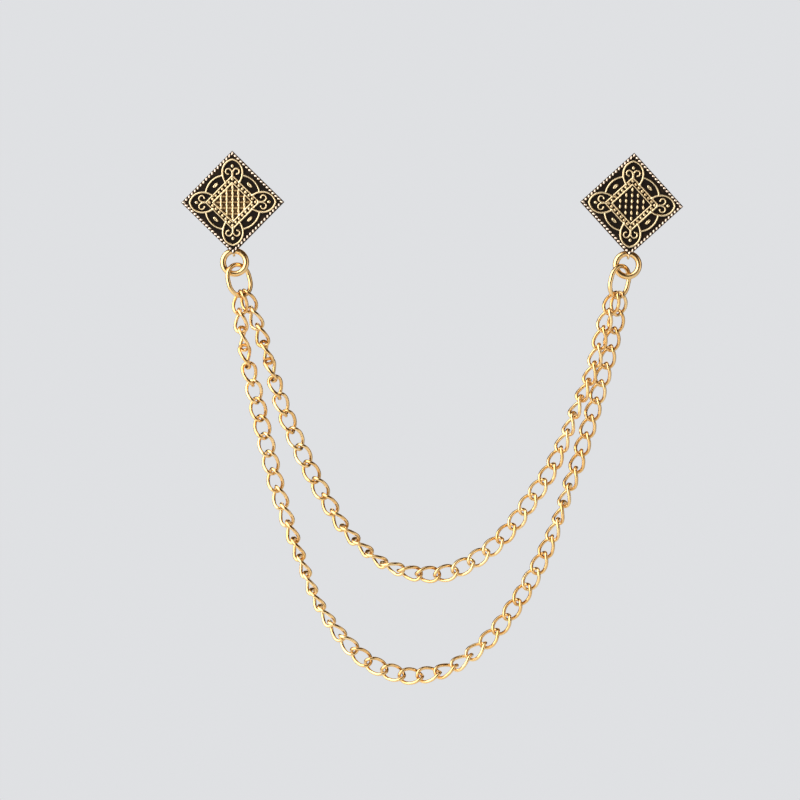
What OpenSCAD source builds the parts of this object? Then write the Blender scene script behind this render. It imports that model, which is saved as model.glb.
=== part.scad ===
// Lapel chain: two cast plaques joined by two curb chains, in the shape they take when worn.
// X runs to the right, Y to the back and Z up. The cloth lies in the plane Y = 0, and the origin is
// midway between the two pins.

/* [Plaques] */
// Distance between the centres of the plaques
span = 82.1; // [79:0.1:85]
// How much higher the left plaque sits than the right one
plate_step = 0.4; // [0:0.1:1]
// Side of each square plaque
plate_side = 15; // [14.5:0.1:15.6]
// Thickness of the plate under its relief
plate_t = 0.9; // [0.7:0.05:1.4]
// Height of the relief above the plate
relief_h = 0.45; // [0.3:0.05:0.6]
// Width of the raised lines
line_w = 0.4; // [0.34:0.02:0.44]
// Width of the roped rim
rope_w = 0.6; // [0.5:0.05:0.7]
// Twists of the rope along one side
rope_n = 17; // [15:1:19]
// Beads along one side of the inner frame
bead_n = 7; // [5:1:8]
// Turn of the left plaque, clockwise as worn
left_turn = -0.5; // [-2:0.1:2]
// Turn of the right plaque, clockwise as worn
right_turn = 2.8; // [0:0.1:4]

/* [Pins] */
// From the cloth to the middle of the jump rings
stand_off = 2.6; // [2.5:0.1:4]
// Diameter of the seat that lies on the cloth
seat_d = 6; // [4:0.1:8]
// Thickness of the seat
seat_t = 1; // [0.6:0.1:1.5]
// Diameter of the neck between seat and plaque
neck_d = 3; // [2:0.1:4]
// Diameter of the post
post_d = 1.1; // [0.9:0.05:1.4]
// Length of the post behind the cloth's face
post_len = 8.5; // [7:0.5:11]

/* [Rings] */
// Outer diameter of the jump rings
ring_d = 6; // [5.8:0.1:6.2]
// Wire of the jump rings
ring_wire = 1.25; // [1.1:0.05:1.3]
// Wire of the eyelets
eyelet_wire = 0.5; // [0.4:0.05:0.6]
// Clearance of a jump ring in its eyelet and behind its plaque
ring_clear = 0.12; // [0.1:0.02:0.3]
// Width of the oval links
oval_w = 6.6; // [6.5:0.05:6.8]
// Height of the oval links
oval_h = 7.5; // [7.2:0.1:7.8]
// Wire of the oval links
oval_wire = 0.95; // [0.8:0.05:1]

/* [Chains] */
// Length of a chain link
link_len = 5.5; // [5.4:0.05:5.7]
// Width of a chain link
link_w = 3.7; // [3.66:0.02:3.74]
// Wire of the chain links
link_wire = 0.7; // [0.6:0.02:0.72]
// Slack between the ends of neighbouring links
link_slack = 0.3; // [0.26:0.02:0.4]
// Twist from the middle of a link to its end, in degrees
link_twist = 55; // [53:1:57]
// Slack of the end links on their oval link
hook_slack = 0.18; // [0.14:0.02:0.2]

/* [Hidden] */
ROUND = 48;

// Left and right side, in this order in every list of two
LEFT = 0;
RIGHT = 1;
side_sign = [-1, 1];
plate_turn = [left_turn, right_turn];

// How each side hangs. The eyelet's middle is raised above the plaque's lowest corner. The ring swings
// towards the chains. The oval link's top wire rides across, forward and above the ring's lowest wire.
eyelet_raise = [0.69, 0.51];
ring_swing = [5.5, -6.8];
oval_across = [0.14, -0.91];
oval_forward = [0, 0.4];
oval_ride = [0.75, 1];
oval_lean = [14, -13];
oval_yaw = [41, 47];

// Planes from the cloth forward
ring_y = -stand_off;
plate_back_y = ring_y - ring_wire / 2 - ring_clear;
pin_gap = 0.1;

// The pattern was laid out on a square of 15 mm, and every place in it is stretched by this share
u = plate_side / 15;
sink = 0.15;
quarters = [0, 90, 180, 270];

ring_r = (ring_d - ring_wire) / 2;
eyelet_r = ring_wire / 2 + ring_clear + eyelet_wire / 2;
oval_r = (oval_w - oval_wire) / 2;
oval_straight = oval_h - oval_w;

// Middle lines of a chain link: half its length and half its width
link_a = (link_len - link_wire) / 2;
link_b = (link_w - link_wire) / 2;
link_pitch_max = link_len - 2 * link_wire - link_slack;
link_square = 2.3;
link_rings = 14;
link_sides = 5;

// The route of each strand from left to right: across, behind the rings' plane, up, and the roll of
// the links in degrees. It was laid out for a span of 82.1 mm and is stretched with it.
route_span = 82.1;
route_steps = 16;
outer_route = [
    [-39.5, -0.6, -23.9, 48], [-39, -0.6, -27.4, 76], [-38.5, -0.6, -30.9, 107],
    [-37.7, -0.5, -34.4, 136], [-36.8, -0.2, -38.1, 160], [-35.95, 0, -42, 176],
    [-35.1, 0, -45.8, 180], [-33.5, 0, -52.6, 185], [-31.7, 0, -59.7, 208], [-29.4, 0, -66.7, 236],
    [-26.8, 0, -74.1, 250], [-23.7, 0, -81.9, 250], [-19.2, 0, -88.7, 226], [-13.4, 0, -94.3, 185],
    [-6.2, 0, -97.2, 168], [-0.5, 0, -97, 148], [4, 0, -95.6, 125], [8.5, 0, -92.6, 135],
    [13, 0, -88.4, 160], [17.3, 0, -82.6, 175], [21.2, 0, -76.1, 160], [24.4, 0, -69.3, 135],
    [26.5, 0, -63.5, 105], [28.2, 0, -58.4, 120], [30.2, 0, -52.7, 140], [33.4, 0.4, -42, 150],
    [36.3, 0.8, -31.7, 150], [37.3, 0.7, -27.4, 158], [38.05, 1.1, -24, 173]];
inner_route = [
    [-36.6, 0.85, -23.5, 51], [-35.4, 0.7, -26.9, 51], [-34.3, 0.45, -30.3, 76],
    [-33.3, 0.3, -33.7, 103], [-32.35, 0, -37.1, 128], [-31.3, 0, -40.5, 142], [-30, 0, -44, 152],
    [-28.6, 0, -47.5, 166], [-25.4, 0, -54.4, 182], [-21.9, 0, -60.9, 208], [-17.8, 0, -67.3, 240],
    [-11.9, 0, -72.9, 250], [-7.5, 0, -75.2, 236], [-3, 0, -76.3, 208], [3.6, 0, -76, 180],
    [10.5, 0, -72.3, 170], [15.8, 0, -67.4, 170], [20.2, 0, -61.3, 170], [24.5, 0, -54.7, 150],
    [27.7, 0, -47.5, 118], [29.1, 0, -43.7, 108], [30.75, 0, -39.9, 114], [32.8, -0.1, -34.9, 123],
    [34.55, -0.4, -28.4, 133], [35.65, -0.9, -24.2, 141]];

// Where each strand's end link hooks on its oval link, measured along the bottom wire, and its roll
outer_hook = [-0.75, 1.15];
outer_end_roll = [27, 176];
inner_hook = [0.76, -0.54];
inner_end_roll = [26, 158];

// Vectors and turns
function unit(v) = v / norm(v);
function about_y(v, a) = [v[0] * cos(a) + v[2] * sin(a), v[1], v[2] * cos(a) - v[0] * sin(a)];
function about_z(v, a) = [v[0] * cos(a) - v[1] * sin(a), v[0] * sin(a) + v[1] * cos(a), v[2]];

// Places that hang from one another: plaque, its lowest corner, eyelet, jump ring, oval link
function plate_at(s) = [side_sign[s] * span / 2, plate_back_y, -side_sign[s] * plate_step / 2];
function plate_tip(s) = plate_at(s) + about_y([0, 0, -plate_side / sqrt(2)], plate_turn[s]);
function eyelet_at(s) = let (tip = plate_tip(s)) [tip[0], ring_y, tip[2] + eyelet_raise[s]];
function ring_at(s) = eyelet_at(s) + about_y([0, 0, -ring_r], -ring_swing[s]);
function oval_top(s) = ring_at(s)
    + [oval_across[s], -oval_forward[s], (ring_wire + oval_wire) / 2 + oval_ride[s] - ring_r];
function oval_at(s) = oval_top(s) + oval_turn(s, [0, 0, -oval_straight / 2 - oval_r]);
function oval_turn(s, v) = about_y(about_z(v, oval_yaw[s]), -oval_lean[s]);

// Flat outlines of the relief: an arc, a spiral, an ellipse, and a ribbon of one width along a path
function arc(c, r, from, to, n) = [for (i = [0:n]) let (a = from + (to - from) * i / n)
    c + r * [cos(a), sin(a)]];
function spiral(c, r0, r1, from, to, n) = [for (i = [0:n])
    let (a = from + (to - from) * i / n, r = r0 + (r1 - r0) * i / n) c + r * [cos(a), sin(a)]];
function ellipse(c, rx, ry, n) = [for (i = [0:n - 1]) c + [rx * cos(360 * i / n), ry * sin(360 * i / n)]];
function left_of(p, i) = let (d = unit(p[min(i + 1, len(p) - 1)] - p[max(i - 1, 0)])) [-d[1], d[0]];
function ribbon(p, w) = concat([for (i = [0:len(p) - 1]) p[i] + left_of(p, i) * w / 2],
    [for (i = [len(p) - 1:-1:0]) p[i] - left_of(p, i) * w / 2]);

// The lobe in each corner: a belly and a pointed top on each side, from foot to foot
lobe_mid = 6.25;
lobe_belly = arc([-1.8, lobe_mid], 3.87, -36, 0, 4);
lobe_top = arc([-0.56, lobe_mid], 2.63, 0, 77.7, 6);
lobe_side = concat(lobe_belly, [for (i = [1:len(lobe_top) - 1]) lobe_top[i]]);
lobe_path = concat(lobe_side, [for (i = [len(lobe_side) - 2:-1:0]) [-lobe_side[i][0], lobe_side[i][1]]]);
curl_path = concat([[0.03, 5.2], [0.06, 6.25]], spiral([0.85, 6.3], 0.68, 0.5, 168, -84, 9));
curl_end = curl_path[len(curl_path) - 1];
arch_path = arc([0, 2.09], 4.07, 53, 127, 12);

frame_out = 3.87;
frame_in = 2.87;
frame_line = 0.3;
bead_r = 0.3;
bead_at = (frame_out + frame_in) / 2;
stud_pitch = 1.2;
stud_w = 0.56;
stud_h = 0.86;
rib_w = 0.3;
dot_r = 0.36;
curl_end_r = 0.24;

// A raised outline that stands in the plate's face, at a share of the relief's height
module raised(points, share = 1) {
    translate([0, 0, plate_t - sink])
        linear_extrude(relief_h * share + sink)
            polygon([for (p = points) p * u]);
}

// Slanted strands on a low strip, along the side of the plate that lies at +Y
module rope_side() {
    half = plate_side / 2 - rope_w - 0.05;
    step = 2 * (half + rope_w / 2) / rope_n;
    lean = step * 0.35;
    strand = step * 0.32;
    translate([0, 0, plate_t - sink]) {
        translate([-half - rope_w / 2, half + 0.1])
            cube([2 * half + rope_w, rope_w - 0.2, sink + relief_h * 0.5]);
        for (i = [0:rope_n - 1])
            translate([(i + 0.5) * step - half - rope_w / 2, half])
                linear_extrude(sink + relief_h)
                    polygon([[-lean - strand, 0], [strand - lean, 0],
                        [lean + strand, rope_w], [lean - strand, rope_w]]);
    }
}

// Two raised square lines with beads between them
module inner_frame() {
    for (d = [frame_out, frame_in])
        translate([0, 0, plate_t - sink])
            linear_extrude(sink + relief_h * 0.8)
                difference() {
                    square(2 * d * u + frame_line, center = true);
                    square(2 * d * u - frame_line, center = true);
                }
    pitch = 2 * bead_at / bead_n;
    for (q = quarters, i = [0:bead_n - 1])
        rotate([0, 0, q])
            translate([((i + 0.5) * pitch - bead_at + pitch / 2) * u, bead_at * u, plate_t - sink])
                cylinder(h = sink + relief_h * 0.7, r = bead_r * u, $fn = ROUND);
}

// Studs in rows of 1, 3, 5, 5, 3 and 1, with a low rib through each column
module studs() {
    for (i = [-2:2]) {
        rib = (2.5 - abs(i)) * stud_pitch + stud_h / 2 - 0.1;
        raised([[i * stud_pitch - rib_w / 2, -rib], [i * stud_pitch + rib_w / 2, -rib],
            [i * stud_pitch + rib_w / 2, rib], [i * stud_pitch - rib_w / 2, rib]], 0.5);
        for (j = [-2.5:1:2.5])
            if (abs(i) + abs(j) <= 2.5)
                raised(ellipse([i, j] * stud_pitch, stud_w / 2, stud_h / 2, 12), 0.85);
    }
}

// One corner of the pattern: the pointed lobe with its two curls and its dot
module corner() {
    raised(ribbon(lobe_path, line_w));
    for (m = [-1, 1]) {
        raised([for (p = ribbon(curl_path, line_w * 0.9)) [p[0] * m, p[1]]], 0.85);
        raised(ellipse([curl_end[0] * m, curl_end[1]], curl_end_r, curl_end_r, 12), 0.85);
    }
    translate([0, 7.45 * u, plate_t])
        sphere(r = dot_r * u, $fn = ROUND);
}

// The middle of one side: an arch from lobe to lobe with a dimpled oval bead under it
module arch() {
    middle = [0, 4.95];
    raised(ribbon(arch_path, line_w), 0.9);
    difference() {
        raised(ellipse(middle, 0.7, 0.34, 16), 0.85);
        translate([0, 0, plate_t + relief_h * 0.4])
            linear_extrude(relief_h)
                polygon(ellipse(middle, 0.42, 0.14, 12) * u);
    }
}

// The plaque lying flat, face up, as a diamond about the origin
module plaque() {
    rotate([0, 0, 45]) {
        translate([-plate_side / 2, -plate_side / 2, 0])
            cube([plate_side, plate_side, plate_t]);
        inner_frame();
        for (q = quarters)
            rotate([0, 0, q]) {
                rope_side();
                arch();
            }
    }
    for (q = quarters)
        rotate([0, 0, q])
            corner();
    studs();
}

// A plaque in its place, with the eyelet soldered to its back by the lowest corner
module plate(s) {
    color([0.62, 0.5, 0.28])
        translate(plate_at(s))
            rotate([0, plate_turn[s], 0])
                rotate([90, 0, 0])
                    plaque();
    color([0.85, 0.68, 0.35])
        translate(eyelet_at(s))
            rotate([0, -ring_swing[s], 0])
                rotate([0, 90, 0])
                    rotate_extrude($fn = ROUND)
                        translate([eyelet_r, 0])
                            circle(r = eyelet_wire / 2, $fn = ROUND);
}

// Neck, seat and pointed post in one turned piece, square to the cloth
module pin(s) {
    at = plate_at(s);
    neck = pin_gap - (ring_y - plate_back_y) - stand_off;
    point = post_d;
    color([0.8, 0.66, 0.38])
        translate([at[0], 0, at[2]])
            rotate([-90, 0, 0])
                rotate_extrude($fn = ROUND)
                    polygon([[0, neck], [neck_d / 2, neck], [neck_d / 2, -seat_t], [seat_d / 2, -seat_t],
                        [seat_d / 2, 0], [post_d / 2, 0], [post_d / 2, post_len - point], [0, post_len]]);
}

module jump_ring(s) {
    color([0.88, 0.7, 0.36])
        translate(ring_at(s))
            rotate([90, 0, 0])
                rotate_extrude($fn = ROUND)
                    translate([ring_r, 0])
                        circle(r = ring_wire / 2, $fn = ROUND);
}

// Two half rings joined by two straight stretches, stood up, turned and leant
module oval_link(s) {
    color([0.88, 0.7, 0.36])
        translate(oval_at(s))
            rotate([0, -oval_lean[s], 0])
                rotate([0, 0, oval_yaw[s]])
                    rotate([90, 0, 0]) {
                        for (m = [0, 180])
                            rotate([0, 0, m])
                                translate([0, oval_straight / 2, 0])
                                    rotate_extrude(angle = 180, $fn = ROUND)
                                        translate([oval_r, 0])
                                            circle(r = oval_wire / 2, $fn = ROUND);
                        for (x = [-oval_r, oval_r])
                            translate([x, 0, 0])
                                rotate([90, 0, 0])
                                    cylinder(h = oval_straight, r = oval_wire / 2, center = true, $fn = ROUND);
                    }
}

// The middle of a link that hangs on an oval link's bottom wire and is pulled towards a point
function hook_at(s, along, towards) = let (
    a = along / oval_r * 180 / PI,
    wire = oval_at(s) + oval_turn(s, [oval_r * sin(a), 0, -oval_straight / 2 - oval_r * cos(a)]),
    reach = link_a - (link_wire + oval_wire) / 2 - hook_slack)
    wire + reach * unit(towards - wire);

// Rows of across, back, up and roll, stretched with the span, with a hooked link at each end
function route_points(rows) = [for (r = rows) let (k = span / route_span)
    [r[0] * k, ring_y + r[1], r[2] * k, r[3]]];
function xyz(r) = [r[0], r[1], r[2]];
function with_roll(p, roll) = [p[0], p[1], p[2], roll];
function strand(rows, hook, end_roll) = let (p = route_points(rows)) concat(
    [with_roll(hook_at(LEFT, hook[0], xyz(p[0])), end_roll[0])], p,
    [with_roll(hook_at(RIGHT, hook[1], xyz(p[len(p) - 1])), end_roll[1])]);

// A smooth curve through the rows, sampled, with the length run up to each sample
function between(a, b, c, d, t) = 0.5 * (2 * b + (c - a) * t + (2 * a - 5 * b + 4 * c - d) * t * t
    + (3 * b - a - 3 * c + d) * t * t * t);
function smooth(rows) = let (n = len(rows), e = concat([2 * rows[0] - rows[1]], rows,
    [2 * rows[n - 1] - rows[n - 2]])) concat(
    [for (i = [0:n - 2], j = [0:route_steps - 1]) between(e[i], e[i + 1], e[i + 2], e[i + 3], j / route_steps)],
    [rows[n - 1]]);
function run_up(p) = [for (i = 0, s = 0; i < len(p); i = i + 1,
    s = s + (i < len(p) ? norm(xyz(p[i]) - xyz(p[i - 1])) : 0)) s];
function column(p, s, c) = [for (i = [0:len(p) - 1]) [s[i], p[i][c]]];

// One link: a squared loop whose ends are twisted against its middle, swept by a round wire.
// down is the way along the strand, and side and front lie across it.
function squared(v) = sign(v) * pow(abs(v), 2 / link_square);
function link_curve(c, down, roll) = let (side = unit(cross([0, -1, 0], down)), front = cross(down, side))
    [for (i = [0:link_rings - 1]) let (t = 360 * i / link_rings, f = roll - link_twist * cos(t))
        c + link_a * squared(cos(t)) * down + link_b * squared(sin(t)) * (cos(f) * side + sin(f) * front)];
function link_points(c, p) = [for (i = [0:link_rings - 1]) let (
    way = unit(p[(i + 1) % link_rings] - p[(i + link_rings - 1) % link_rings]),
    out = p[i] - c,
    e = unit(out - (out * way) * way),
    f = cross(way, e)) for (k = [0:link_sides - 1]) let (a = 360 * k / link_sides)
        p[i] + link_wire / 2 * (cos(a) * e + sin(a) * f)];
function link_faces(first) = [for (i = [0:link_rings - 1], k = [0:link_sides - 1]) let (
    a = first + i * link_sides,
    b = first + (i + 1) % link_rings * link_sides,
    m = (k + 1) % link_sides) each [[a + k, b + k, b + m], [a + k, b + m, a + m]]];

// Links one after another along a strand, evenly spaced from hook to hook
module chain(rows, hook, end_roll) {
    p = smooth(strand(rows, hook, end_roll));
    s = run_up(p);
    long = s[len(s) - 1];
    n = ceil(long / link_pitch_max);
    tables = [for (c = [0:3]) column(p, s, c)];
    step = 0.4;
    links = [for (i = [0:n]) let (
        at = long * i / n,
        here = [for (c = [0:2]) lookup(at, tables[c])],
        ahead = [for (c = [0:2]) lookup(min(at + step, long), tables[c])],
        behind = [for (c = [0:2]) lookup(max(at - step, 0), tables[c])])
        each link_points(here, link_curve(here, unit(ahead - behind), lookup(at, tables[3])))];
    faces = [for (i = [0:n]) each link_faces(i * link_rings * link_sides)];
    color([0.93, 0.75, 0.4])
        polyhedron(links, faces, convexity = 10);
}

module left_plate() { plate(LEFT); }
module right_plate() { plate(RIGHT); }
module left_pin() { pin(LEFT); }
module right_pin() { pin(RIGHT); }
module left_jump_ring() { jump_ring(LEFT); }
module right_jump_ring() { jump_ring(RIGHT); }
module left_oval_link() { oval_link(LEFT); }
module right_oval_link() { oval_link(RIGHT); }
module inner_chain() { chain(inner_route, inner_hook, inner_end_roll); }
module outer_chain() { chain(outer_route, outer_hook, outer_end_roll); }

left_plate();
left_pin();
left_jump_ring();
left_oval_link();
inner_chain();
outer_chain();
right_oval_link();
right_jump_ring();
right_pin();
right_plate();
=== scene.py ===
# Lapel chain: two cast plaques on pins, with two curb chains looped between them.
# Lengths are in millimetres and angles in degrees until a mesh is made, which is in metres.
# s is the side, 0 for the left and 1 for the right; a pair marked "left, right" is read with it.
import bpy
import numpy as np
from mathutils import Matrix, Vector


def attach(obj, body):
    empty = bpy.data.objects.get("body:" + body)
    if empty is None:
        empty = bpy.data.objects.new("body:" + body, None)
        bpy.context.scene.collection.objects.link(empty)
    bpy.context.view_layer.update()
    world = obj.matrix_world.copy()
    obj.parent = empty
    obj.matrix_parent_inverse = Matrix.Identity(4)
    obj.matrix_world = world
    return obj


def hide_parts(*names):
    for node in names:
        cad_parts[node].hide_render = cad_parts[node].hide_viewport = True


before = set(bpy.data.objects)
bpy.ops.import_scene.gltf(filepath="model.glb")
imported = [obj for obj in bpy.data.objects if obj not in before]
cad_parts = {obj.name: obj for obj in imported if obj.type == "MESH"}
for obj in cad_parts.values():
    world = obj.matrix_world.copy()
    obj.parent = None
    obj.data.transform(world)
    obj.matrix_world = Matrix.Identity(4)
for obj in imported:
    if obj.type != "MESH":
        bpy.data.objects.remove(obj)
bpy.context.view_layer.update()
print("frame loaded with", len(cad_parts), "nodes")

mm = 0.001
sideNames = ("left", "right")
sideSigns = (-1, 1)


# (x, y, z) turned about Y by a: (x cos a + z sin a, y, z cos a - x sin a)
def turnY(points, angle):
    cosA, sinA = np.cos(np.radians(angle)), np.sin(np.radians(angle))
    x, y, z = np.moveaxis(np.asarray(points, float), -1, 0)
    return np.stack([x * cosA + z * sinA, y, z * cosA - x * sinA], -1)


# (x, y, z) turned about Z by a: (x cos a - y sin a, x sin a + y cos a, z)
def turnZ(points, angle):
    cosA, sinA = np.cos(np.radians(angle)), np.sin(np.radians(angle))
    x, y, z = np.moveaxis(np.asarray(points, float), -1, 0)
    return np.stack([x * cosA - y * sinA, x * sinA + y * cosA, z], -1)


# each vector over its own length
def unit(v):
    return v / np.linalg.norm(v, axis=-1, keepdims=True)


# a full turn in equal steps, in radians: 2 pi k / count
def fullTurn(count):
    return 2 * np.pi * np.arange(count) / count


# quads of a grid P[i, j] whose face looks along dP/di x dP/dj, joined up where a way is closed.
# first is the number of the grid's first point in its mesh
def gridQuads(rows, cols, closedRows=False, closedCols=False, first=0):
    i, j = np.meshgrid(np.arange(rows - (not closedRows)), np.arange(cols - (not closedCols)),
                       indexing="ij")
    i, j = i.ravel(), j.ravel()
    i2, j2 = (i + 1) % rows, (j + 1) % cols
    return np.stack([i * cols + j, i2 * cols + j, i2 * cols + j2, i * cols + j2], 1) + first


# a closed tube: p + r (cos a e1 + sin a e2), where e1 points away from the middle and e2 = e1 x way.
# The last but one axis of the path runs along it, and any axes before that count the tubes
def closedTube(path, middle, radius, sides):
    way = unit(np.roll(path, -1, -2) - np.roll(path, 1, -2))
    out = path - middle
    e1 = unit(out - (out * way).sum(-1, keepdims=True) * way)
    e2 = np.cross(e1, way)
    a = fullTurn(sides)[:, None]
    return path[..., None, :] + radius * (np.cos(a) * e1[..., None, :] + np.sin(a) * e2[..., None, :])


# the volume inside is a sixth of the sum of a . (b x c) over the triangles, and is positive
# where the faces look outwards
def volumeOf(points, faces):
    total = 0.0
    for corners in faces:
        p = points[corners]
        for k in range(1, p.shape[1] - 1):
            total += np.einsum("ij,ij->i", p[:, 0], np.cross(p[:, k], p[:, k + 1])).sum()
    return total / 6


# a mesh from points in millimetres, arrays of quads or triangles, and marks with a number for each point
def makePiece(name, points, faces, marks, material, node):
    mesh = bpy.data.meshes.new(name)
    mesh.vertices.add(len(points))
    mesh.vertices.foreach_set("co", (points * mm).astype(np.float32).ravel())
    corners = np.concatenate([f.ravel() for f in faces])
    sizes = np.concatenate([np.full(len(f), f.shape[1]) for f in faces])
    mesh.loops.add(len(corners))
    mesh.loops.foreach_set("vertex_index", corners.astype(np.int32))
    mesh.polygons.add(len(sizes))
    mesh.polygons.foreach_set("loop_start", (np.cumsum(sizes) - sizes).astype(np.int32))
    mesh.update(calc_edges=True)
    mesh.validate()
    for mark, values in marks.items():
        stored = mesh.attributes.new(mark, "FLOAT", "POINT")
        stored.data.foreach_set("value", values.astype(np.float32).ravel())
    mesh.shade_smooth()
    mesh.materials.append(material)
    piece = bpy.data.objects.new(name, mesh)
    bpy.context.scene.collection.objects.link(piece)
    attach(piece, "root")
    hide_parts(node)
    print(name, "made:", int((sizes - 2).sum()), "triangles,", round(volumeOf(points, faces), 1), "mm3")


# a node's inputs, set from plain values or joined to other nodes' outputs
def feed(tree, node, inputs):
    for key, value in inputs.items():
        if isinstance(value, bpy.types.NodeSocket):
            tree.links.new(value, node.inputs[key])
        else:
            node.inputs[key].default_value = value


# a new node, with its settings made before its inputs are fed
def addNode(tree, kind, inputs=None, **settings):
    node = tree.nodes.new(kind)
    for key, value in settings.items():
        setattr(node, key, value)
    feed(tree, node, inputs or {})
    return node


# a material with its node tree and its shader
def newMaterial(name):
    material = bpy.data.materials.new(name)
    material.use_nodes = True
    tree = material.node_tree
    return material, tree, tree.nodes["Principled BSDF"]


# the number that a mark holds on the mesh's points
def marked(tree, mark):
    return addNode(tree, "ShaderNodeAttribute", attribute_name=mark).outputs["Fac"]


# noise through the metal from 0 to 1, where a larger scale is finer
def noise(tree, scale, detail, roughness):
    place = addNode(tree, "ShaderNodeTexCoord").outputs["Object"]
    return addNode(tree, "ShaderNodeTexNoise", {"Vector": place, "Scale": scale, "Detail": detail,
                                                "Roughness": roughness}).outputs["Fac"]


# one value worked out from two: a + b, a - b or a b
def sums(tree, kind, a, b):
    return addNode(tree, "ShaderNodeMath", {0: a, 1: b}, operation=kind).outputs[0]


# two values added by their shares: shareA a + shareB b
def blended(tree, a, shareA, b, shareB):
    return sums(tree, "ADD", sums(tree, "MULTIPLY", a, shareA), sums(tree, "MULTIPLY", b, shareB))


# how far noise swings from its middle: share (value - 0.5)
def swing(tree, value, share):
    return sums(tree, "MULTIPLY", sums(tree, "SUBTRACT", value, 0.5), share)


# a value carried from one stretch to another in proportion, and held at its ends
def spread(tree, value, fromLow, fromHigh, toLow, toHigh):
    return addNode(tree, "ShaderNodeMapRange", {"Value": value, "From Min": fromLow, "From Max": fromHigh,
                                                "To Min": toLow, "To Max": toHigh}).outputs["Result"]


# colours in a row, each with its place between 0 and 1: the lowest, the highest, then any between them
def ramp(tree, factor, stops):
    node = addNode(tree, "ShaderNodeValToRGB", {"Fac": factor})
    points = node.color_ramp.elements
    for k, (place, colour) in enumerate(stops):
        point = points[k] if k < 2 else points.new(place)
        point.position = place
        point.color = (*colour, 1)
    return node.outputs["Color"]


# one colour turned into another: (1 - share) under + share over
def laidOver(tree, share, under, over):
    return addNode(tree, "ShaderNodeMix", {"Factor": share, "A": under, "B": (*over, 1)},
                   data_type="RGBA").outputs["Result"]


# a finish too fine for the mesh, raised by strength x high in metres
def bumped(tree, height, strength, high):
    return addNode(tree, "ShaderNodeBump", {"Strength": strength, "Distance": high,
                                            "Height": height}).outputs["Normal"]


goldLook = {
    "body": (0.25, (0.84, 0.53, 0.21)), "pale": (0.75, (0.94, 0.70, 0.37)),   # place in the ramp, colour
    "seamAndShadeColour": (0.34, 0.12, 0.03), "seamAndShadeDepth": 0.5,   # the dark colour at the ring's seam and the painted shade inside the link ends, and how far it covers
    "cloudShare": 0.55, "toneShare": 0.45,         # what clouds and each link's own tone give to the colour
    "grainShare": 0.7, "seamAndShadeShare": 0.3,            # what grain and the seam and shade mark give to the wear
    "roughOver": (0.25, 0.75), "rough": (0.18, 0.3),   # wear, and the roughness that it spreads over
    "cloud": (260, 4, 0.6), "grain": (900, 6, 0.65),   # scale, detail and roughness of the noise
    "bump": (0.25, 0.00003),                       # strength, and height in metres
}


# polished plating: the tone changes a little from link to link; it turns dark at the ring's seam, and
# inside the link ends, where links meet, painted shade darkens it
def makeGold(look):
    material, tree, shader = newMaterial("polishedGold")
    cloud, grain = noise(tree, *look["cloud"]), noise(tree, *look["grain"])
    seamAndShade = marked(tree, "seamAndShade")
    shade = blended(tree, cloud, look["cloudShare"], marked(tree, "tone"), look["toneShare"])
    colour = ramp(tree, shade, (look["body"], look["pale"]))
    wear = blended(tree, grain, look["grainShare"], seamAndShade, look["seamAndShadeShare"])
    feed(tree, shader, {
        "Base Color": laidOver(tree, sums(tree, "MULTIPLY", seamAndShade, look["seamAndShadeDepth"]), colour, look["seamAndShadeColour"]),
        "Metallic": 1,
        "Roughness": spread(tree, wear, *look["roughOver"], *look["rough"]),
        "Normal": bumped(tree, grain, *look["bump"])})
    return material


brassLook = {
    # place in the ramp by brightness, and colour
    "pit": (0.12, (0.010, 0.006, 0.004)), "stain": (0.32, (0.05, 0.026, 0.010)),
    "bronze": (0.58, (0.32, 0.19, 0.07)), "crest": (0.9, (0.94, 0.78, 0.50)),
    "ropeHighlightColour": (0.98, 0.82, 0.70), "ropeHighlightOver": (0.4, 0.9),   # painted highlight washed over the rope's tops, and the brightness it comes in
    "crestShare": 0.6, "cloudShare": 0.5,                   # what they add to the height's brightness
    "metalOver": (0.2, 0.5), "metal": (0.35, 1), "ropeDull": 0.3,   # less metallic in pits and on the rope
    "roughOver": (0.2, 0.9), "rough": (0.6, 0.32), "grainShare": 0.2,
    "glint": 0.2,
    "cloud": (420, 5, 0.6), "grain": (1400, 8, 0.7),        # scale, detail and roughness of the noise
    "bump": (0.5, 0.00004),                                 # strength, and height in metres
}


# aged cast brass: black-brown in the hollows, rubbed bright on whatever stands proud. The relief also
# carries painted light on the middle field, and the rope's tops carry a painted highlight in a pale wash.
# brightness = height + crest share x crest + swing of the clouds
def makeBrass(look):
    material, tree, shader = newMaterial("agedBrass")
    cloud, grain = noise(tree, *look["cloud"]), noise(tree, *look["grain"])
    rope = marked(tree, "rope")
    proud = sums(tree, "MULTIPLY", marked(tree, "crest"), look["crestShare"])
    height = sums(tree, "ADD", marked(tree, "relief"), proud)
    bright = sums(tree, "ADD", height, swing(tree, cloud, look["cloudShare"]))
    colour = ramp(tree, bright, (look["pit"], look["crest"], look["stain"], look["bronze"]))
    # painted highlight: a pale wash over the rope where its painted tops are bright
    ropeHighlightShare = sums(tree, "MULTIPLY", rope, spread(tree, bright, *look["ropeHighlightOver"], 0, 1))
    feed(tree, shader, {
        "Base Color": laidOver(tree, ropeHighlightShare, colour, look["ropeHighlightColour"]),
        "Metallic": sums(tree, "SUBTRACT", spread(tree, bright, *look["metalOver"], *look["metal"]),
                         sums(tree, "MULTIPLY", rope, look["ropeDull"])),
        "Roughness": sums(tree, "ADD", spread(tree, bright, *look["roughOver"], *look["rough"]),
                          swing(tree, grain, look["grainShare"])),
        "Specular IOR Level": look["glint"],
        "Normal": bumped(tree, grain, *look["bump"])})
    return material


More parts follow.
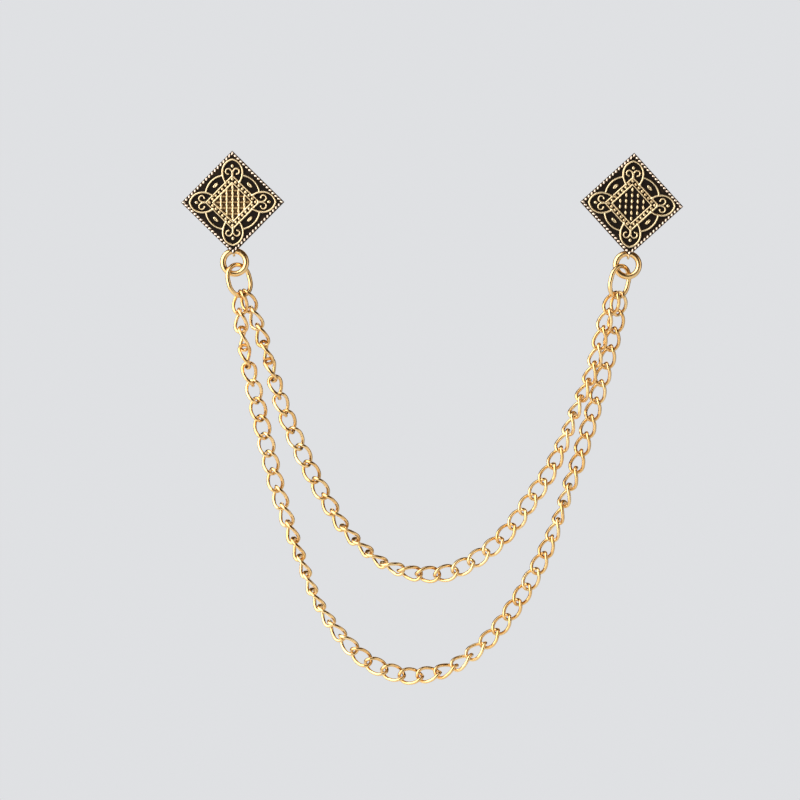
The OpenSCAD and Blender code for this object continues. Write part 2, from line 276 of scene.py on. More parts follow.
pinLook = {
    "body": (0.3, (0.70, 0.50, 0.24)), "pale": (0.7, (0.84, 0.66, 0.38)),   # place in the ramp, colour
    "roughOver": (0.3, 0.7), "rough": (0.28, 0.45), "share": 0.5,   # share is what each noise gives
    "grain": (1100, 6, 0.5), "lathe": (9, 3),                       # scale, detail, roughness of the noise
    "bump": (0.3, 0.00002),                                         # strength, and height in metres
}


# satin brass with the rings of the lathe, seen only from behind
def makeSatin(look):
    material, tree, shader = newMaterial("satinBrass")
    scale, detail = look["lathe"]
    lines = addNode(tree, "ShaderNodeTexNoise", {"W": marked(tree, "turned"), "Scale": scale,
                                                 "Detail": detail}, noise_dimensions="1D").outputs["Fac"]
    both = blended(tree, noise(tree, *look["grain"]), look["share"], lines, look["share"])
    feed(tree, shader, {
        "Base Color": ramp(tree, both, (look["body"], look["pale"])),
        "Metallic": 1,
        "Roughness": spread(tree, both, *look["roughOver"], *look["rough"]),
        "Normal": bumped(tree, both, *look["bump"])})
    return material


polishedGold = makeGold(goldLook)
agedBrass = makeBrass(brassLook)
satinBrass = makeSatin(pinLook)
print("materials made")


hanging = {
    "span": 82.1,                # between the plaques' centres
    "step": 0.4,                 # the left plaque sits this much higher
    "ringPlane": -2.6,           # y of the jump rings, in front of the lapels' face at y = 0
    "plaqueBack": -3.345,        # y of the plaques' backs
    "plaqueTurn": (-0.5, 2.8),   # left, right, clockwise as seen from the front
    "eyeletRaise": (0.69, 0.51), "ringSwing": (5.5, -6.8),   # left, right
    "ovalAcross": (0.14, -0.91), "ovalForward": (0, 0.4), "ovalRide": (0.75, 1),   # left, right
    "ovalLean": (14, -13), "ovalYaw": (41, 47),   # left, right
}


# the middle of a plaque's back
def plaqueAt(s):
    sign = sideSigns[s]
    return np.array([sign * hanging["span"] / 2, hanging["plaqueBack"], -sign * hanging["step"] / 2])


# the middle of the eyelet, a little above the plaque's lowest corner
def eyeletAt(s):
    tip = plaqueAt(s) + turnY([0, 0, -plaque["side"] / np.sqrt(2)], hanging["plaqueTurn"][s])
    return np.array([tip[0], hanging["ringPlane"], tip[2] + hanging["eyeletRaise"][s]])


plaque = {
    "side": 15, "thick": 0.9, "relief": 0.45, "edge": 0.1,   # edge is the rounding of the front's border
    "cells": 272,                                            # along each side of the front's grid
    "softening": 2,                                          # rounds that take the sharpness off the relief
    "crestSoftening": 40, "crestGain": 2.2,                  # how wide a hollow is stained, and how much
    "fieldPaintedLight": (0.5, 0.08),                                # left, right: painted light on the middle field, much stronger on the left plaque that the key lamp falls on
    "eyeletWire": 0.5, "eyeletClear": 0.12, "eyeletStations": 56, "eyeletSides": 16,
    "eyeletRelief": 0.8, "eyeletCrest": 0.1,                 # what the eyelet's wire reads as in the brass
    # the cast forms, alike in each quarter: (across, up) is measured towards a corner of the diamond, and
    # (along, out) towards a side. An arc is its middle, its radius and the angles that it runs between
    "pattern": {
        "lobeBelly": (-1.8, 6.25, 3.87, -36, 0), "lobeTop": (-0.56, 6.25, 2.63, 0, 77.7), "lobeFoot": 3.9,
        "curlStem": ((0.03, 5.2), (0.06, 6.25)), "curlMiddle": (0.85, 6.3), "curlRadius": (0.68, 0.5),
        "curlAngle": (168, -84), "curlPoints": 14, "curlEnd": (0.9, 5.8, 0.26),   # across, up, radius
        "dot": (7.45, 0.36, 0.42),                                                # up, radii
        "arch": (0, 2.09, 4.07, 53, 127),
        "oval": (4.95, 0.74, 0.38), "dimple": (0.4, 0.14),                        # out, radii, and radii
        "lobeLine": 0.517, "archLine": 0.47, "thinLine": 0.44,                    # widths
        "frameOut": 3.87, "frameIn": 2.87, "beads": 7, "bead": 0.4,
        "studPitch": 1.2, "studWide": 0.58, "studTall": 0.96, "studReach": 2.5,   # reach in pitches
        "ribWide": 0.34, "ribWave": 0.05, "barWide": 0.3,
    },
    # how high each form stands, as a share of the relief
    "rise": {
        "ground": 0.16, "lobe": 1, "curl": 0.85, "arch": 0.9, "oval": 0.95, "dimple": 0.3,
        "frame": 0.8, "bead": 0.75,
        "stud": (0.82, 0.95), "rib": (0.62, 0.2), "bar": (0.2, 0.06),   # left, right
    },
    "rope": {
        "wide": 0.6, "turns": 17, "slant": 0.35,   # turns along a side
        "fill": 0.3,                               # the section between two strands, a share of the widest
        "inset": 0.05, "lift": 0.13,               # from the plaque's edge, and over its plate
        "turnSteps": 8, "around": 14, "mitre": 9,
        "highlightGain": 1.1, "crestFrom": 0.6,             # painted highlight on the strand tops, and where it turns to crest
    },
    # loops of the back, from the rim to the seat of the pin: reach, how round, height and how bright
    "backLoops": (
        (7.5, 0, 0.1, 0.5), (7.47, 0, 0.03, 0.6), (7.4, 0, 0, 0.62), (6.75, 0, 0, 0.6),
        (6.62, 0, 0.12, 0.3), (5, 0.3, 0.12, 0.34), (2.6, 1, 0.12, 0.34), (2.45, 1, 0.02, 0.5),
        (2.3, 1, 0, 0.6), (1.2, 1, 0, 0.6)),
}
pattern, rise, rope = plaque["pattern"], plaque["rise"], plaque["rope"]


# the back of a half-round line: sqrt(1 - (2 d / w)^2)
def roundedLine(distance, wide):
    return np.sqrt(np.clip(1 - (2 * distance / wide) ** 2, 0, 1))


# a full round bead: (1 - (x / a)^2 - (y / b)^2)^0.35
def dome(x, y, rx, ry):
    return np.clip(1 - (x / rx) ** 2 - (y / ry) ** 2, 0, 1) ** 0.35


# distance to an arc: |distance to its middle - r| between its angles, else that to its nearer end
def nearArc(x, y, cx, cy, radius, low, high):
    angle = np.degrees(np.arctan2(y - cy, x - cx))
    toEnds = [np.hypot(x - cx - radius * np.cos(t), y - cy - radius * np.sin(t))
              for t in np.radians([low, high])]
    within = (angle >= low) & (angle <= high)
    return np.where(within, np.abs(np.hypot(x - cx, y - cy) - radius), np.minimum(*toEnds))


# distance to a broken line: the least of those to its stretches
def nearPath(x, y, path):
    best = np.full(x.shape, np.inf)
    for (ax, ay), (bx, by) in zip(path[:-1], path[1:]):
        dx, dy = bx - ax, by - ay
        t = np.clip(((x - ax) * dx + (y - ay) * dy) / (dx * dx + dy * dy), 0, 1)
        best = np.minimum(best, np.hypot(x - ax - t * dx, y - ay - t * dy))
    return best


# a corner's curl: up the stem, then round its middle m at m + r (cos a, sin a), with r and a running evenly
def curlPath():
    t = np.linspace(0, 1, pattern["curlPoints"])
    (r0, r1), (a0, a1) = pattern["curlRadius"], pattern["curlAngle"]
    angle, radius = np.radians(a0 + (a1 - a0) * t), r0 + (r1 - r0) * t
    x, y = pattern["curlMiddle"]
    return list(pattern["curlStem"]) + list(zip(x + radius * np.cos(angle), y + radius * np.sin(angle)))


# the lattice in the middle: ribs stand at whole steps of the pitch in u, bars lie at whole steps in v, and
# studs sit on the ribs midway between two bars
def latticeShare(u, v, s):
    pitch, reach = pattern["studPitch"], pattern["studReach"]
    column = np.clip(np.round(u / pitch), 0.5 - reach, reach - 0.5)
    row = np.clip(np.floor(v / pitch) + 0.5, -reach, reach)
    studs = dome(u - column * pitch, v - row * pitch, pattern["studWide"] / 2, pattern["studTall"] / 2)
    studs *= np.abs(column) + np.abs(row) <= reach
    wave = pattern["ribWave"] * np.sin(2 * np.pi * v / pitch)
    ribs = roundedLine(u - column * pitch - wave, pattern["ribWide"])
    bars = roundedLine(v - np.round(v / pitch) * pitch, pattern["barWide"])
    return rise["stud"][s] * studs, rise["rib"][s] * ribs, rise["bar"][s] * bars


# the pattern's height over the plate, the highest of its forms, as a share of the relief. (a, b) lie
# along the plaque's sides and (u, v) across and up its diamond; both are folded into one of four like
# sectors before measuring
def reliefShare(a, b, s):
    u, v = (a - b) / np.sqrt(2), (a + b) / np.sqrt(2)
    across, up = np.minimum(np.abs(u), np.abs(v)), np.maximum(np.abs(u), np.abs(v))
    along, out = np.minimum(np.abs(a), np.abs(b)), np.maximum(np.abs(a), np.abs(b))
    frameOut, frameIn, thin = pattern["frameOut"], pattern["frameIn"], pattern["thinLine"]

    bellyMiddle, lobeMiddle, bellyRadius = pattern["lobeBelly"][:3]
    topMiddle, topRadius = pattern["lobeTop"][0], pattern["lobeTop"][2]
    archMiddle, archRadius = pattern["arch"][1:3]
    lobe = np.minimum(nearArc(across, up, *pattern["lobeBelly"]), nearArc(across, up, *pattern["lobeTop"]))
    inLobe = np.where(up > lobeMiddle, np.hypot(across - topMiddle, up - lobeMiddle) < topRadius,
                      np.hypot(across - bellyMiddle, up - lobeMiddle) < bellyRadius)
    inLobe &= up > pattern["lobeFoot"]
    inArch = np.hypot(along, out - archMiddle) < archRadius
    ground = (out > frameOut) & ~inLobe & ~inArch

    # beads stand evenly along the frame's middle line, one on each of its corners
    beadMiddle = (frameOut + frameIn) / 2
    beadPitch = 2 * beadMiddle / pattern["beads"]
    other = np.where(np.abs(a) > np.abs(b), b, a)
    nearest = np.clip(np.round((other + beadMiddle) / beadPitch), 0, pattern["beads"])
    fromBead = other - nearest * beadPitch + beadMiddle

    endAcross, endUp, endRadius = pattern["curlEnd"]
    dotUp, dotWide, dotTall = pattern["dot"]
    ovalOut, ovalWide, ovalTall = pattern["oval"]
    studs, ribs, bars = latticeShare(u, v, s)
    inField = out < frameIn
    return np.maximum.reduce([
        rise["ground"] * ground,
        rise["lobe"] * roundedLine(lobe, pattern["lobeLine"]),
        rise["curl"] * roundedLine(nearPath(across, up, curlPath()), thin),
        rise["curl"] * dome(across - endAcross, up - endUp, endRadius, endRadius),
        rise["curl"] * dome(across, up - dotUp, dotWide, dotTall),
        rise["arch"] * roundedLine(nearArc(along, out, *pattern["arch"]), pattern["archLine"]),
        rise["oval"] * dome(along, out - ovalOut, ovalWide, ovalTall)
        - rise["dimple"] * dome(along, out - ovalOut, *pattern["dimple"]),
        rise["frame"] * roundedLine(np.abs(out - frameOut), thin),
        rise["frame"] * roundedLine(np.abs(out - frameIn), thin),
        rise["bead"] * dome(fromBead, out - beadMiddle, pattern["bead"], pattern["bead"]),
        studs, ribs * inField, bars * inField])


# each point becomes (before + 2 own + after) / 4, along one way and then the other
def softened(grid, times):
    for _ in range(times):
        wide = np.pad(grid, 1, mode="edge")
        wide = (wide[:-2] + 2 * wide[1:-1] + wide[2:]) / 4
        grid = (wide[:, :-2] + 2 * wide[:, 1:-1] + wide[:, 2:]) / 4
    return grid


# the rope on the rim: a section R (k + (1 - k) cos^2 f), with k the fill, that swells into a slanted strand
# at each turn, each of its points keeping to a square of its own. Its painted highlight is the swell times
# how far it faces up, so the strand tops that face the front come out pale. f = spin + slant (angle - 90),
# and the jump in it lies underneath, inside the plate. The place along the side is h t + (reach - h)
# t^mitre, which keeps the strands alike and still mitres the corners
def ropeRim():
    half = plaque["side"] / 2 - rope["wide"] / 2 - rope["inset"]
    perSide = rope["turns"] * rope["turnSteps"]
    t = np.arange(perSide) / perSide * 2 - 1
    spin = np.pi * rope["turns"] * (t + 1) / 2
    angle = fullTurn(rope["around"]) - np.pi / 2
    f = spin[:, None] + rope["slant"] * (angle[None] - np.pi / 2)
    swell = rope["fill"] + (1 - rope["fill"]) * np.cos(f) ** 2
    radius = rope["wide"] / 2 * swell
    reach = half + radius * np.cos(angle)
    high = plaque["thick"] + rope["lift"] + radius * np.sin(angle)
    # painted highlight: the swell times how far the section faces up, so the strand tops facing the front
    # come out pale
    tone = rope["highlightGain"] * swell * np.clip(np.sin(angle), 0, 1)
    along = half * t[:, None] + (reach - half) * t[:, None] ** rope["mitre"]
    flat = np.stack([along, reach], -1)
    quarterTurns = ((1, 0), (0, -1), (-1, 0), (0, 1))   # cos and sin, one for each side
    ab = np.concatenate([flat @ np.array([[c, d], [-d, c]]) for c, d in quarterTurns])
    return ab, np.tile(high, (4, 1)), np.tile(tone, (4, 1))


# a plaque: the front is (a, b, thick + relief share - e (1 - sqrt(1 - r^2))), with r from 0 to 1 over the
# last e of the border, and the wall and the back are loops between a square and a circle
def makePlaque(s):
    n, half, edge = plaque["cells"], plaque["side"] / 2, plaque["edge"]
    a, b = np.meshgrid(*[np.linspace(-half, half, n + 1)] * 2, indexing="ij")
    share = softened(reliefShare(a, b, s), plaque["softening"])
    outer = np.maximum(np.abs(a), np.abs(b))
    rounding = np.clip(1 - (half - outer) / edge, 0, 1)
    high = plaque["thick"] + plaque["relief"] * share - edge * (1 - np.sqrt(1 - rounding ** 2))
    crest = np.clip((share - softened(share, plaque["crestSoftening"])) * plaque["crestGain"], -1, 1)
    front = np.stack([a, b, high], -1).reshape(-1, 3)
    faces = [gridQuads(n + 1, n + 1)]
    # painted light: the middle field is painted brighter, far more on the left plaque that the key lamp
    # falls on
    reliefs = [(share + plaque["fieldPaintedLight"][s] * (outer < pattern["frameIn"])).ravel()]
    crests = [crest.ravel()]

    # the wall and the back: loops that start on the front's border, closed by a fan
    step = np.arange(n)
    border = np.concatenate([step * (n + 1), n * (n + 1) + step, (n - step) * (n + 1) + n, n - step])
    rim = front[border, :2]
    circle = unit(rim)
    loops = [np.column_stack([rim / half * reach * (1 - r) + circle * reach * r, np.full(len(rim), z)])
             for reach, r, z, bright in plaque["backLoops"]]
    m, start = len(border), len(front)
    ids = np.vstack([border, start + np.arange(len(loops) * m).reshape(len(loops), m)])
    after = np.roll(ids, -1, 1)
    faces.append(np.stack([ids[:-1], ids[1:], after[1:], after[:-1]], -1).reshape(-1, 4))
    centre = start + len(loops) * m
    faces.append(np.stack([ids[-1], np.full(m, centre), after[-1]], -1))
    flat = np.vstack([front] + loops + [[[0, 0, 0]]])
    tones = [bright for reach, r, z, bright in plaque["backLoops"]]
    reliefs.append(np.append(np.repeat(tones, m), tones[-1]))
    crests.append(np.zeros(len(loops) * m + 1))

    ab, ropeHigh, ropePaintedHighlight = ropeRim()
    faces.append(gridQuads(*ropePaintedHighlight.shape, True, True, len(flat))[:, ::-1])
    flat = np.vstack([flat, np.dstack([ab, ropeHigh]).reshape(-1, 3)])
    reliefs.append(ropePaintedHighlight.ravel())
    crests.append((ropePaintedHighlight - rope["crestFrom"]).ravel())

    # stand the flat plaque up as a diamond that faces the front: (a, b, h) becomes
    # ((a - b) / root 2, -h, (a + b) / root 2)
    x, y, h = flat.T
    stood = np.column_stack([(x - y) / np.sqrt(2), -h, (x + y) / np.sqrt(2)])
    points = turnY(stood, hanging["plaqueTurn"][s]) + plaqueAt(s)

    # the eyelet soldered behind the lowest corner, square to the ring's wire: (0, R sin t, R cos t)
    t = fullTurn(plaque["eyeletStations"])
    radius = ring["wire"] / 2 + plaque["eyeletClear"] + plaque["eyeletWire"] / 2
    hoop = radius * np.column_stack([np.zeros(len(t)), np.sin(t), np.cos(t)])
    hoop = turnY(hoop, -hanging["ringSwing"][s]) + eyeletAt(s)
    tube = closedTube(hoop, eyeletAt(s), plaque["eyeletWire"] / 2, plaque["eyeletSides"])
    faces.append(gridQuads(*tube.shape[:2], True, True, len(points)))
    points = np.vstack([points, tube.reshape(-1, 3)])
    reliefs.append(np.full(tube[..., 0].size, plaque["eyeletRelief"]))
    crests.append(np.full(tube[..., 0].size, plaque["eyeletCrest"]))

    roped = np.zeros(len(points))
    roped[len(flat) - ropePaintedHighlight.size:len(flat)] = 1
    marks = {"relief": np.concatenate(reliefs), "crest": np.concatenate(crests), "rope": roped}
    name = sideNames[s]
    makePiece(name + "Plaque", points, faces, marks, agedBrass, name + "_plate")


pin = {
    "around": 72,
    "profile": (  # radius and y, from the neck's face over the seat to the post's point
        (0, -3.245), (1.38, -3.245), (1.47, -3.2), (1.5, -3.1), (1.5, -1.3), (1.56, -1.12), (1.7, -1.01),
        (1.85, -1), (2.8, -1), (2.93, -0.95), (3, -0.82), (3, -0.15), (2.95, -0.04), (2.85, 0), (0.72, 0),
        (0.6, 0.02), (0.55, 0.08), (0.55, 2), (0.55, 4), (0.55, 6), (0.55, 7.35), (0.52, 7.5),
        (0.3, 8), (0.08, 8.42), (0, 8.5)),
}


# a profile turned about the plaque's axis: (r cos t, y, r sin t), with one point at each pole
def makePin(s):
    profile, around = np.array(pin["profile"]), pin["around"]
    t = fullTurn(around)
    r, y = profile[1:-1, 0][:, None], profile[1:-1, 1][:, None]
    body = np.stack([r * np.cos(t), y + 0 * t, r * np.sin(t)], -1).reshape(-1, 3)
    rows = len(profile) - 2
    first, last, end = len(body), len(body) + 1, (rows - 1) * around
    k = np.arange(around)
    k2 = (k + 1) % around
    faces = [gridQuads(rows, around, False, True),
             np.stack([np.full(around, first), k, k2], 1),
             np.stack([np.full(around, last), end + k2, end + k], 1)]
    poles = [[0, profile[0, 1], 0], [0, profile[-1, 1], 0]]
    points = np.vstack([body, poles]) + plaqueAt(s) * [1, 0, 1]
    turned = np.concatenate([np.repeat(profile[1:-1].sum(1), around), [0, profile[-1, 1]]])
    name = sideNames[s]
    makePiece(name + "Pin", points, faces, {"turned": turned}, satinBrass, name + "_pin")


ring = {
    "outer": 6, "wire": 1.25, "tone": 0.5, "stations": 112, "sides": 28,
    "cutAt": (62, 118),                                  # left, right: where the wire's ends meet
    "cutDeep": 0.16, "cutWide": 0.009, "seamWide": 0.014,   # the widths in radians
    "cutStations": (-0.03, -0.018, -0.008, 0, 0.008, 0.018, 0.03),
}
ringRadius = (ring["outer"] - ring["wire"]) / 2


# the middle of the ring: its own radius below the eyelet, swung to the side
def ringAt(s):
    return eyeletAt(s) + turnY([0, 0, -ringRadius], -hanging["ringSwing"][s])


# a round wire ring: (R cos t, 0, R sin t), its wire r (1 - d exp(-((t - cut) / w)^2)) thick
def makeRing(s):
    cut = np.radians(ring["cutAt"][s])
    t = np.unique(np.concatenate([fullTurn(ring["stations"]), cut + np.array(ring["cutStations"])]))
    path = ringRadius * np.column_stack([np.cos(t), 0 * t, np.sin(t)])
    radius = ring["wire"] / 2 * (1 - ring["cutDeep"] * np.exp(-((t - cut) / ring["cutWide"]) ** 2))
    tube = closedTube(path, np.zeros(3), radius[:, None, None], ring["sides"])
    points = tube.reshape(-1, 3) + ringAt(s)
    # the dark seam where the wire's ends meet
    seamAndShade = np.repeat(np.exp(-((t - cut) / ring["seamWide"]) ** 2), ring["sides"])
    marks = {"tone": np.full(len(points), ring["tone"]), "seamAndShade": seamAndShade}
    quads = gridQuads(len(t), ring["sides"], True, True)
    name = sideNames[s]
    makePiece(name + "JumpRing", points, [quads], marks, polishedGold, name + "_jump_ring")


oval = {"wide": 6.6, "tall": 7.5, "wire": 0.95, "tone": 0.6, "stations": 128, "sides": 24}
ovalRadius = (oval["wide"] - oval["wire"]) / 2
ovalStraight = oval["tall"] - oval["wide"]


# yawed about its own height, then leaned to the side
def turnOval(s, points):
    return turnY(turnZ(points, hanging["ovalYaw"][s]), -hanging["ovalLean"][s])


# the middle of the oval link: its top rides on the ring's lowest wire, with the link's half height below
def ovalAt(s):
    top = ringAt(s) + [hanging["ovalAcross"][s], -hanging["ovalForward"][s],
                       (ring["wire"] + oval["wire"]) / 2 + hanging["ovalRide"][s] - ringRadius]
    return top + turnOval(s, [0, 0, -ovalStraight / 2 - ovalRadius])


# a stadium: (R cos t, 0, R sin t) lifted or lowered by half of the straight stretch, by the sign of sin t
def makeOval(s):
    half = oval["stations"] // 2
    t = np.concatenate([np.linspace(0, np.pi, half), np.linspace(np.pi, 2 * np.pi, half)])
    lift = np.repeat([1, -1], half) * ovalStraight / 2
    path = np.column_stack([ovalRadius * np.cos(t), 0 * t, ovalRadius * np.sin(t) + lift])
    tube = closedTube(path, np.zeros(3), oval["wire"] / 2, oval["sides"])
    points = turnOval(s, tube.reshape(-1, 3)) + ovalAt(s)
    marks = {"tone": np.full(len(points), oval["tone"]), "seamAndShade": np.zeros(len(points))}
    quads = gridQuads(len(t), oval["sides"], True, True)
    name = sideNames[s]
    makePiece(name + "OvalLink", points, [quads], marks, polishedGold, name + "_oval_link")


link = {
    "long": 5.5, "wide": 3.7, "wire": 0.7, "twist": 55, "square": 2.3,
    "slack": 0.3, "hookSlack": 0.18,       # between two links, and between a link and its oval link
    "stations": 56, "sides": 14,
    "routeSteps": 16, "glance": 0.4,       # samples a row, and how far a link looks to find its way
    "shadeTight": 6,                         # the larger, the shorter the stretch of painted shade at each end
}
linkA = (link["long"] - link["wire"]) / 2
linkB = (link["wide"] - link["wire"]) / 2

# each strand: where it hooks on the oval links along their lowest wire, the roll of its end links, and the
# rows of its route with x, y from the rings' plane, z and roll. hook and endRoll are left, right
outerStrand = {
    "name": "outerChain", "node": "outer_chain", "seed": 11,
    "hook": (-0.75, 1.15), "endRoll": (27, 176),
    "route": (
        (-39.5, -0.6, -23.9, 48), (-39, -0.6, -27.4, 76), (-38.5, -0.6, -30.9, 107),
        (-37.7, -0.5, -34.4, 136), (-36.8, -0.2, -38.1, 160), (-35.95, 0, -42, 176),
        (-35.1, 0, -45.8, 180), (-33.5, 0, -52.6, 185), (-31.7, 0, -59.7, 208), (-29.4, 0, -66.7, 236),
        (-26.8, 0, -74.1, 250), (-23.7, 0, -81.9, 250), (-19.2, 0, -88.7, 226), (-13.4, 0, -94.3, 185),
        (-6.2, 0, -97.2, 168), (-0.5, 0, -97, 148), (4, 0, -95.6, 125), (8.5, 0, -92.6, 135),
        (13, 0, -88.4, 160), (17.3, 0, -82.6, 175), (21.2, 0, -76.1, 160), (24.4, 0, -69.3, 135),
        (26.5, 0, -63.5, 105), (28.2, 0, -58.4, 120), (30.2, 0, -52.7, 140), (33.4, 0.4, -42, 150),
        (36.3, 0.8, -31.7, 150), (37.3, 0.7, -27.4, 158), (38.05, 1.1, -24, 173)),
}
innerStrand = {
    "name": "innerChain", "node": "inner_chain", "seed": 12,
    "hook": (0.76, -0.54), "endRoll": (26, 158),
    "route": (
        (-36.6, 0.85, -23.5, 51), (-35.4, 0.7, -26.9, 51), (-34.3, 0.45, -30.3, 76),
        (-33.3, 0.3, -33.7, 103), (-32.35, 0, -37.1, 128), (-31.3, 0, -40.5, 142), (-30, 0, -44, 152),
        (-28.6, 0, -47.5, 166), (-25.4, 0, -54.4, 182), (-21.9, 0, -60.9, 208), (-17.8, 0, -67.3, 240),
        (-11.9, 0, -72.9, 250), (-7.5, 0, -75.2, 236), (-3, 0, -76.3, 208), (3.6, 0, -76, 180),
        (10.5, 0, -72.3, 170), (15.8, 0, -67.4, 170), (20.2, 0, -61.3, 170), (24.5, 0, -54.7, 150),
        (27.7, 0, -47.5, 118), (29.1, 0, -43.7, 108), (30.75, 0, -39.9, 114), (32.8, -0.1, -34.9, 123),
        (34.55, -0.4, -28.4, 133), (35.65, -0.9, -24.2, 141)),
}


# the middle of the link that hangs on an oval link and is pulled towards a point. It lies
# A - (wire + oval wire) / 2 - slack from the middle of the oval link's wire
def hookAt(s, along, towards):
    a = along / ovalRadius
    low = [ovalRadius * np.sin(a), 0, -ovalStraight / 2 - ovalRadius * np.cos(a)]
    wire = ovalAt(s) + turnOval(s, low)
    reach = linkA - (link["wire"] + oval["wire"]) / 2 - link["hookSlack"]
    return wire + reach * unit(towards - wire)


# links evenly spaced along a smooth curve through the rows, sampled between one row and the next:
# (2 b + (c - a) t + (2 a - 5 b + 4 c - d) t^2 + (3 b - a - 3 c + d) t^3) / 2
def linkPlaces(strand):
    rows = np.array(strand["route"]) + [0, hanging["ringPlane"], 0, 0]
    ends = [np.append(hookAt(s, strand["hook"][s], rows[-s, :3]), strand["endRoll"][s]) for s in (0, 1)]
    rows = np.vstack([ends[0], rows, ends[1]])
    e = np.vstack([2 * rows[0] - rows[1], rows, 2 * rows[-1] - rows[-2]])
    a, b, c, d = (e[k:len(e) - 3 + k, None] for k in range(4))
    t = (np.arange(link["routeSteps"]) / link["routeSteps"])[None, :, None]
    curve = (2 * b + (c - a) * t + (2 * a - 5 * b + 4 * c - d) * t ** 2
             + (3 * b - a - 3 * c + d) * t ** 3) / 2
    curve = np.vstack([curve.reshape(-1, 4), rows[-1]])
    run = np.append(0, np.cumsum(np.linalg.norm(np.diff(curve[:, :3], axis=0), axis=1)))
    count = int(np.ceil(run[-1] / (link["long"] - 2 * link["wire"] - link["slack"]))) + 1
    at = np.linspace(0, run[-1], count)

    # x, y, z and roll at a run along the curve, in proportion between its samples
    def sample(where):
        return np.column_stack([np.interp(np.clip(where, 0, run[-1]), run, curve[:, k]) for k in range(4)])

    ahead, behind = sample(at + link["glance"]), sample(at - link["glance"])
    return sample(at), unit(ahead[:, :3] - behind[:, :3])


# sign(w) |w|^(2 / square), which makes an ellipse's cosine or sine into that of a squarer link
def squared(w):
    return np.sign(w) * np.abs(w) ** (2 / link["square"])


# every link at once: c + A q(cos t) down + B q(sin t) (cos f side + sin f front), with q as squared
# and f = roll - twist cos t, swept by a round wire. Inside its two ends, where the next links sit, it
# carries painted shade, by |cos t|^tight
def makeChain(strand):
    centre, down = linkPlaces(strand)
    count, n, m = len(centre), link["stations"], link["sides"]
    side = unit(np.cross([0, -1, 0], down))
    facing = np.cross(down, side)
    t = fullTurn(n)
    f = np.radians(centre[:, 3:] - link["twist"] * np.cos(t))[..., None]
    across = np.cos(f) * side[:, None] + np.sin(f) * facing[:, None]
    path = (centre[:, None, :3] + linkA * squared(np.cos(t))[:, None] * down[:, None]
            + linkB * squared(np.sin(t))[:, None] * across)
    tube = closedTube(path, centre[:, None, :3], link["wire"] / 2, m)
    quads = (gridQuads(n, m, True, True)[None] + np.arange(count)[:, None, None] * n * m).reshape(-1, 4)
    tone = np.repeat(np.random.default_rng(strand["seed"]).uniform(0, 1, count), n * m)
    # painted shade on the inner side of each link's ends, where the next link sits
    inner = np.clip(-np.cos(fullTurn(m)), 0, 1) ** 2
    seamAndShade = np.abs(np.cos(t))[:, None] ** link["shadeTight"] * inner
    marks = {"tone": tone, "seamAndShade": np.tile(seamAndShade.ravel(), count)}
    makePiece(strand["name"], tube.reshape(-1, 3), [quads], marks, polishedGold, strand["node"])


for s in (0, 1):
    makePlaque(s)
    makePin(s)
    makeRing(s)
    makeOval(s)
makeChain(outerStrand)
makeChain(innerStrand)


studio = {
    "middle": (-0.00663, -0.0033, -0.04048),   # what the camera looks at, in metres as all of the studio
    "width": 0.1648,                           # how much of it the picture takes in
    "lens": 150, "sensor": 36, "clip": (0.02, 20),
    "floorHigh": -0.3, "floorWide": 4.8, "floorNear": -3.4, "floorFar": 1.4,
    "floorColour": (0.72, 0.71, 0.69), "floorRough": 0.9,
    "shell": (0.070, 0.044, 0.024),            # the room as the metal mirrors it
    "fill": (0.46, 0.47, 0.48),                # as it lights the floor
    "behind": (0.74, 0.75, 0.77),              # and as the camera sees it
    "lamps": (  # place, size, watts, colour
        ((-0.56, -0.30, 0.20), 1.20, 11.5, (1, 0.96, 0.88)),
        ((0.58, -0.26, 0.02), 0.60, 0.75, (1, 0.92, 0.80)),
        ((-0.06, -0.26, 0.58), 0.50, 0.9, (1, 0.97, 0.92)),
        ((0.10, 0.60, 0.20), 0.50, 0.6, (1, 0.98, 0.95))),
}


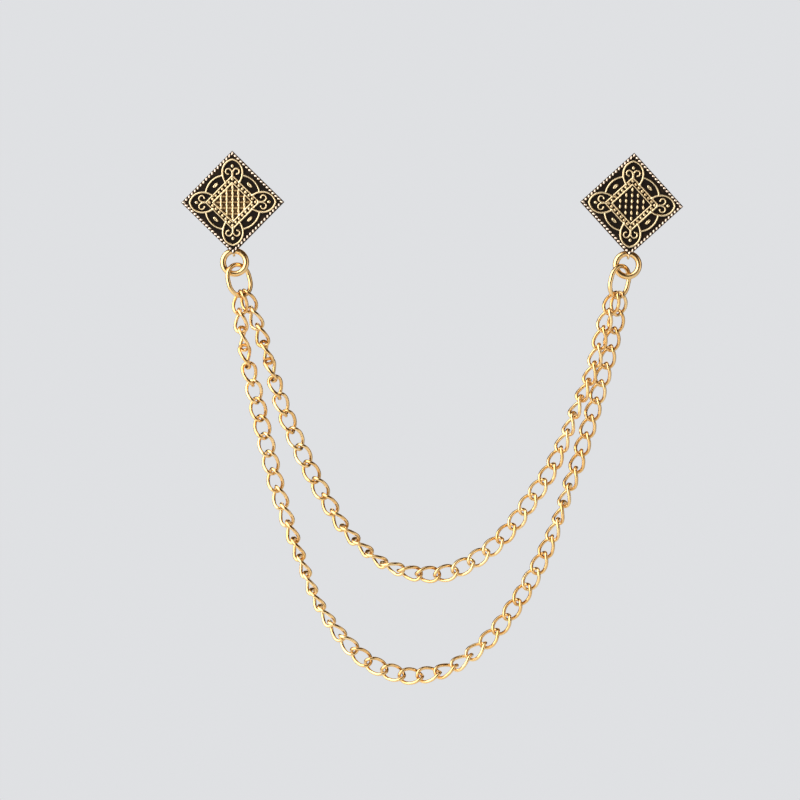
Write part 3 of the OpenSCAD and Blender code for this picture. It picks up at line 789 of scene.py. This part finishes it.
# a camera level with the middle, width x lens / sensor in front of it
def makeCamera():
    camera = bpy.data.cameras.new("frontCamera")
    camera.lens, camera.sensor_width = studio["lens"], studio["sensor"]
    camera.clip_start, camera.clip_end = studio["clip"]
    eye = bpy.data.objects.new("frontCamera", camera)
    distance = studio["width"] * studio["lens"] / studio["sensor"]
    eye.location = Vector(studio["middle"]) - Vector((0, distance, 0))
    eye.rotation_euler = (np.pi / 2, 0, 0)
    bpy.context.scene.collection.objects.link(eye)
    bpy.context.scene.camera = eye


# round soft lamps, each turned towards the middle
def makeLamps():
    for k, (place, size, watts, colour) in enumerate(studio["lamps"]):
        lamp = bpy.data.lights.new(f"softLamp{k}", "AREA")
        lamp.shape, lamp.size, lamp.energy, lamp.color = "DISK", size, watts, colour
        holder = bpy.data.objects.new(f"softLamp{k}", lamp)
        holder.location = place
        towards = Vector(studio["middle"]) - Vector(place)
        holder.rotation_euler = towards.to_track_quat("-Z", "Y").to_euler()
        bpy.context.scene.collection.objects.link(holder)


# one wide pale quad under everything
def makeFloor():
    half, z = studio["floorWide"] / 2, studio["floorHigh"]
    near, far = studio["floorNear"], studio["floorFar"]
    mesh = bpy.data.meshes.new("paleFloor")
    mesh.from_pydata([(-half, near, z), (half, near, z), (half, far, z), (-half, far, z)], [],
                     [(0, 1, 2, 3)])
    floor = bpy.data.objects.new("paleFloor", mesh)
    material, tree, shader = newMaterial("palePaper")
    feed(tree, shader, {"Base Color": (*studio["floorColour"], 1), "Roughness": studio["floorRough"]})
    mesh.materials.append(material)
    bpy.context.scene.collection.objects.link(floor)


# the room is pale to the camera and on the floor, but dim and warm in the metal, so that the gold keeps
# its darks
def makeRoom():
    world = bpy.data.worlds.new("paleRoom")
    world.use_nodes = True
    tree = world.node_tree
    rays = addNode(tree, "ShaderNodeLightPath").outputs
    lit = laidOver(tree, rays["Is Diffuse Ray"], (*studio["shell"], 1), studio["fill"])
    seen = laidOver(tree, rays["Is Camera Ray"], lit, studio["behind"])
    feed(tree, tree.nodes["Background"], {"Color": seen})
    bpy.context.scene.world = world


makeCamera()
makeLamps()
makeFloor()
makeRoom()
bpy.context.scene.view_settings.view_transform = "Standard"
bpy.context.scene.view_settings.look = "None"
print("studio set")
